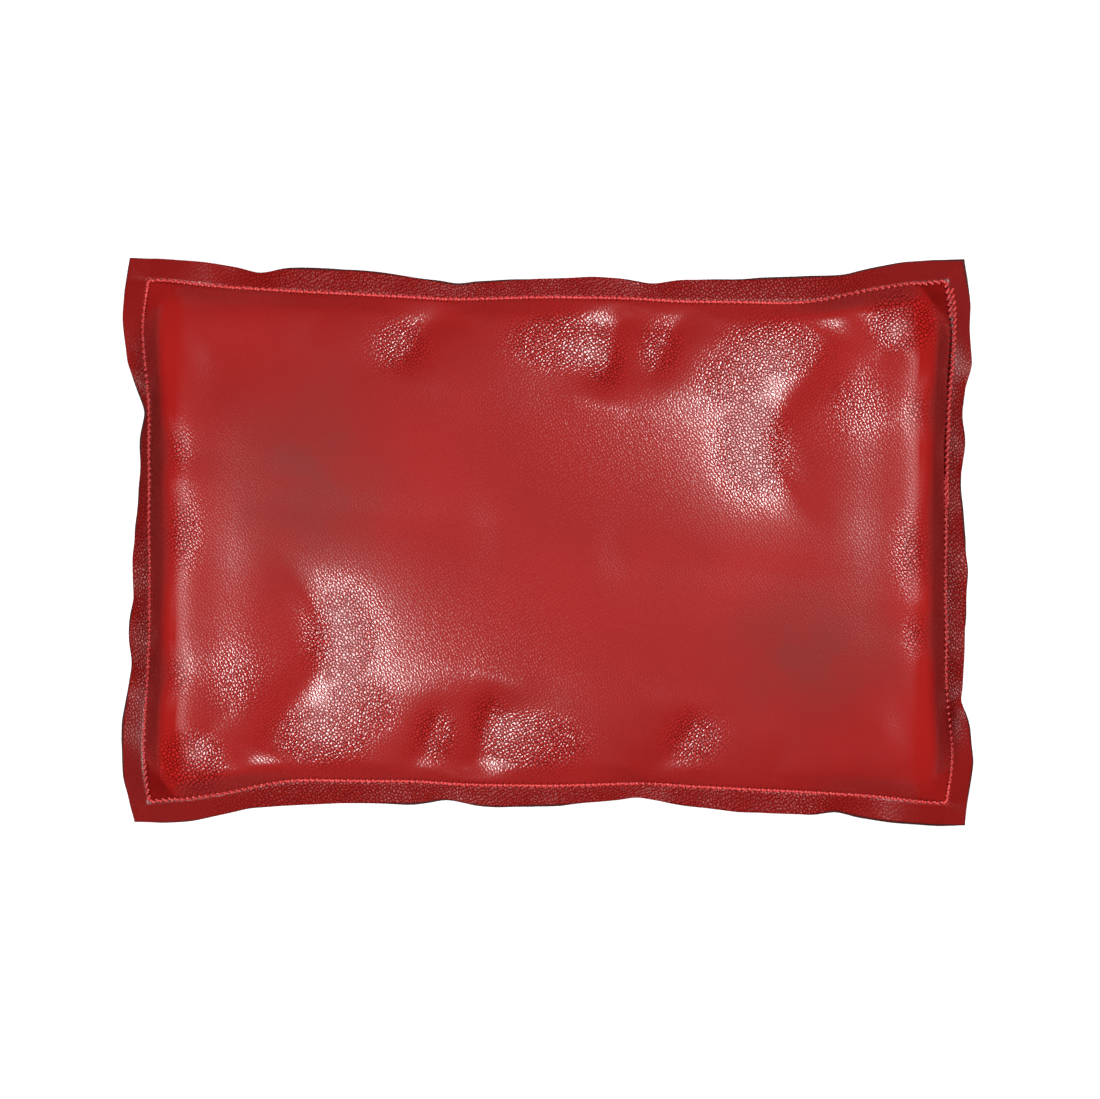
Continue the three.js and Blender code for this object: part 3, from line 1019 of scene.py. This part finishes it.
def leather_material():
    """Red leather; its grain, painted groove shade, matt patches with a painted greyish sheen, painted
    edge shade and shine follow the values on the panels' points.
    """
    material, tree, shader = new_material("red_leather")
    place = node(tree, "ShaderNodeUVMap", uv_map="cut").outputs[0]
    open_grain, dull_and_painted_sheen, painted_edge_shade, rubbed = (
        node(tree, "ShaderNodeAttribute", attribute_name=name).outputs["Fac"]
        for name in ("open_grain", "dull_and_painted_sheen", "painted_edge_shade", "rubbed")
    )

    from_groove = pebble_distance(tree, place)
    height = eased(tree, from_groove, 0.0, 0.4)
    strength = calc(tree, "MULTIPLY_ADD", open_grain, 0.78, 0.18)
    bumped(tree, shader, height, PEBBLE_HEIGHT, strength)

    cloud = noise(tree, place, 14.0, 3.0)
    reds = ramp(tree, cloud.outputs["Fac"], 0.3, DARK_RED, 0.7, RED)
    # The matt patches' painted greyish sheen, broken up by specks
    specks = calc(tree, "MULTIPLY_ADD", noise(tree, place, 38.0, 5.0).outputs["Fac"], 1.4, 0.2)
    painted_sheen = calc(tree, "MULTIPLY", dull_and_painted_sheen, specks, clamp=True)
    # Painted shade in the grooves between the pebbles, strongest in the open-grain patches; the same mask
    # takes the shine out of the grooves
    groove = calc(tree, "SUBTRACT", 1.0, eased(tree, from_groove, 0.06, 0.27))
    groove_shade_strength = calc(tree, "MULTIPLY_ADD", open_grain, 1.55, 0.02)
    painted_groove_shade = calc(tree, "MULTIPLY", groove, groove_shade_strength, clamp=True)
    colour = mixed(tree, painted_sheen, reds, SHEEN_GREY_RED)
    # A lighter red in the open-grain patches, then the painted groove shade over it
    colour = mixed(tree, open_grain, colour, PEBBLE_TOP_RED)
    colour = mixed(tree, painted_groove_shade, colour, GROOVE_SHADE_RED)
    # Painted shade on the margin, the ends' steep walls and the sunken corners
    colour = mixed(tree, calc(tree, "MULTIPLY", painted_edge_shade, 0.6), colour, EDGE_SHADE_RED)
    # Painted shade in the needle holes and beside the stitches
    colour = mixed(tree, needle_hole_shade(tree, place), colour, HOLE_SHADE_RED)
    tree.links.new(colour, shader.inputs["Base Color"])

    roughness = calc(tree, "MULTIPLY_ADD", rubbed, 0.1, 0.24)
    tree.links.new(roughness, shader.inputs["Roughness"])
    shine = calc(tree, "MULTIPLY_ADD", rubbed, -0.8, calc(tree, "MULTIPLY_ADD", dull_and_painted_sheen, -0.35, 0.8))
    shine = calc(tree, "MULTIPLY", shine, calc(tree, "SUBTRACT", 1.0, painted_groove_shade), clamp=True)
    tree.links.new(shine, shader.inputs["Specular IOR Level"])
    shader.inputs["IOR"].default_value = 1.66
    return material


def raw_edge_material():
    """The cut edge and the flesh side, dark with fibres; on the flesh side, between the panels, the
    near-black also stands for painted shade.
    """
    material, tree, shader = new_material("raw_edge")
    place = node(tree, "ShaderNodeTexCoord").outputs["Object"]
    fibres = noise(tree, place, 900.0, 4.0).outputs["Fac"]
    browns = ramp(tree, fibres, 0.35, (0.012, 0.003, 0.003, 1), 0.75, (0.09, 0.014, 0.012, 1))
    tree.links.new(browns, shader.inputs["Base Color"])
    bumped(tree, shader, fibres, 0.0004, 0.8)
    shader.inputs["Roughness"].default_value = 0.85
    return material


TWIST = 900.0  # turns of the thread's strands per metre


def thread_material():
    material, tree, shader = new_material("red_thread")
    run = node(tree, "ShaderNodeUVMap", uv_map="run").outputs[0]
    apart = tree.nodes.new("ShaderNodeSeparateXYZ")
    tree.links.new(run, apart.inputs[0])
    twist = calc(tree, "ADD", calc(tree, "MULTIPLY", apart.outputs[0], TWIST), apart.outputs[1])
    strands = calc(tree, "PINGPONG", calc(tree, "MULTIPLY", twist, 2.0), 1.0)
    colour = mixed(tree, strands, (0.36, 0.012, 0.012, 1), (0.7, 0.06, 0.06, 1))
    tree.links.new(colour, shader.inputs["Base Color"])
    bumped(tree, shader, strands, 0.0002, 0.7)
    shader.inputs["Roughness"].default_value = 0.42
    return material


YARN = 0.0011  # the canvas yarns' spacing


def canvas_material():
    material, tree, shader = new_material("cotton_canvas")
    place = node(tree, "ShaderNodeUVMap", uv_map="cut").outputs[0]
    apart = tree.nodes.new("ShaderNodeSeparateXYZ")
    tree.links.new(place, apart.inputs[0])
    over = calc(tree, "PINGPONG", calc(tree, "DIVIDE", apart.outputs[0], YARN), 1.0)
    under = calc(tree, "PINGPONG", calc(tree, "DIVIDE", apart.outputs[1], YARN), 1.0)
    weave = calc(tree, "MULTIPLY", over, under)
    slubs = calc(tree, "MULTIPLY", noise(tree, place, 160.0, 3.0).outputs["Fac"], 0.5)
    shade = calc(tree, "ADD", calc(tree, "MULTIPLY", weave, 0.6), slubs)
    colour = mixed(tree, shade, (0.42, 0.36, 0.25, 1), (0.68, 0.62, 0.47, 1))
    tree.links.new(colour, shader.inputs["Base Color"])
    bumped(tree, shader, weave, 0.0003, 0.8)
    shader.inputs["Roughness"].default_value = 0.9
    return material


def sand_material():
    material, tree, shader = new_material("dry_sand")
    place = node(tree, "ShaderNodeTexCoord").outputs["Object"]
    grains = node(tree, "ShaderNodeTexVoronoi", Scale=1400.0)
    tree.links.new(place, grains.inputs["Vector"])
    apart = node(tree, "ShaderNodeSeparateColor")
    tree.links.new(grains.outputs["Color"], apart.inputs[0])
    colour = mixed(tree, apart.outputs[0], (0.3, 0.2, 0.1, 1), (0.72, 0.56, 0.34, 1))
    tree.links.new(colour, shader.inputs["Base Color"])
    bump = bumped(tree, shader, grains.outputs["Distance"], 0.0005, 0.9)
    bump.invert = True
    shader.inputs["Roughness"].default_value = 0.95
    return material


# The stage, the lights and the camera

VIEW_WIDTH = 577.5  # what the picture spans at the seam's height
LENS = 100.0
CAMERA_SHIFT = (1.3, -4.2)  # of the camera's place from over the bag's middle
SOFTBOX_PLACE = (1.2, 0.66, 1.9)  # the back right one, in metres; the other is opposite
SOFTBOX_SIZE = (1.35, 0.42)
FILL_PLACE = (0.0, 1.5, 1.5)
FILL_SIZE = (1.2, 1.2)


def make_stage():
    """A plain pale floor."""
    bpy.ops.mesh.primitive_plane_add(size=8)
    floor = bpy.context.object
    floor.name = "floor"
    material, _, shader = new_material("pale_floor")
    shader.inputs["Base Color"].default_value = (0.85, 0.85, 0.85, 1)
    shader.inputs["Roughness"].default_value = 0.9
    shader.inputs["Emission Color"].default_value = (1, 1, 1, 1)
    shader.inputs["Emission Strength"].default_value = 0.4
    floor.data.materials.append(material)
    floor.visible_glossy = False


def area_light(name, place, side, size, power):
    """A soft lamp at the place or, for side -1, opposite it, turned towards the bag."""
    place = (side * place[0], side * place[1], place[2])
    data = bpy.data.lights.new(name, "AREA")
    data.shape = "RECTANGLE"
    data.size, data.size_y = size
    data.energy = power
    lamp = bpy.data.objects.new(name, data)
    lamp.location = place
    lamp.rotation_euler = (Vector((0, 0, 0.03)) - Vector(place)).to_track_quat("-Z", "Y").to_euler()
    bpy.context.scene.collection.objects.link(lamp)
    return lamp


def make_lights():
    """Two softboxes, two fills that the leather doesn't mirror, and a background only the camera sees."""
    world = bpy.data.worlds.new("soft_studio")
    world.use_nodes = True
    background = world.node_tree.nodes["Background"]
    background.inputs["Color"].default_value = (1, 1, 1, 1)
    background.inputs["Strength"].default_value = 0.8
    world.cycles_visibility.diffuse = False
    world.cycles_visibility.glossy = False
    bpy.context.scene.world = world
    for name, side in (("back_right", 1), ("front_left", -1)):
        area_light(f"softbox_{name}", SOFTBOX_PLACE, side, SOFTBOX_SIZE, power=52)
    for name, side in (("back", 1), ("front", -1)):
        fill = area_light(f"fill_{name}", FILL_PLACE, side, FILL_SIZE, power=5.5)
        fill.visible_glossy = False


def make_camera():
    """Straight above the bag, as in the photo."""
    data = bpy.data.cameras.new("camera")
    data.lens = LENS
    camera = bpy.data.objects.new("camera", data)
    distance = VIEW_WIDTH * MM * data.lens / data.sensor_width
    shift_x, shift_y = CAMERA_SHIFT
    camera.location = (shift_x * MM, shift_y * MM, distance + SEAM_HEIGHT * MM)
    camera.rotation_euler = (0, 0, 0)
    data.clip_end = 20
    bpy.context.scene.collection.objects.link(camera)
    bpy.context.scene.camera = camera


make_stage()
make_lights()
make_camera()
bpy.context.scene.view_settings.view_transform = "Standard"

p, q, upper_inner, upper_outer, lower_inner, lower_outer = panel_surfaces()
top, bottom = make_panels(p, q, upper_inner, upper_outer, lower_inner, lower_outer)
liners, sand = make_contents(p, q, upper_inner, lower_inner)
threads = make_threads(p, q, upper_outer, lower_outer)
leather = leather_material()
raw_edge = raw_edge_material()
canvas = canvas_material()
cotton = thread_material()
for piece, node_name in ((top, "top_panel"), (bottom, "bottom_panel")):
    piece.data.materials.append(leather)
    piece.data.materials.append(raw_edge)
    finished_faces = (p.shape[0] - 1) * (p.shape[1] - 1)
    finish = np.ones(len(piece.data.polygons), np.int32)
    finish[:finished_faces] = 0
    piece.data.polygons.foreach_set("material_index", finish)
    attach(piece, "root")
    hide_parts(node_name)
for piece, node_name in zip(liners, ("liner_upper", "liner_lower")):
    piece.data.materials.append(canvas)
    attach(piece, "root")
    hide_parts(node_name)
for node_name, piece in threads.items():
    piece.data.materials.append(cotton)
    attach(piece, "root")
    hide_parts(node_name)
sand.data.materials.append(sand_material())
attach(sand, "root")
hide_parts("sand_fill")
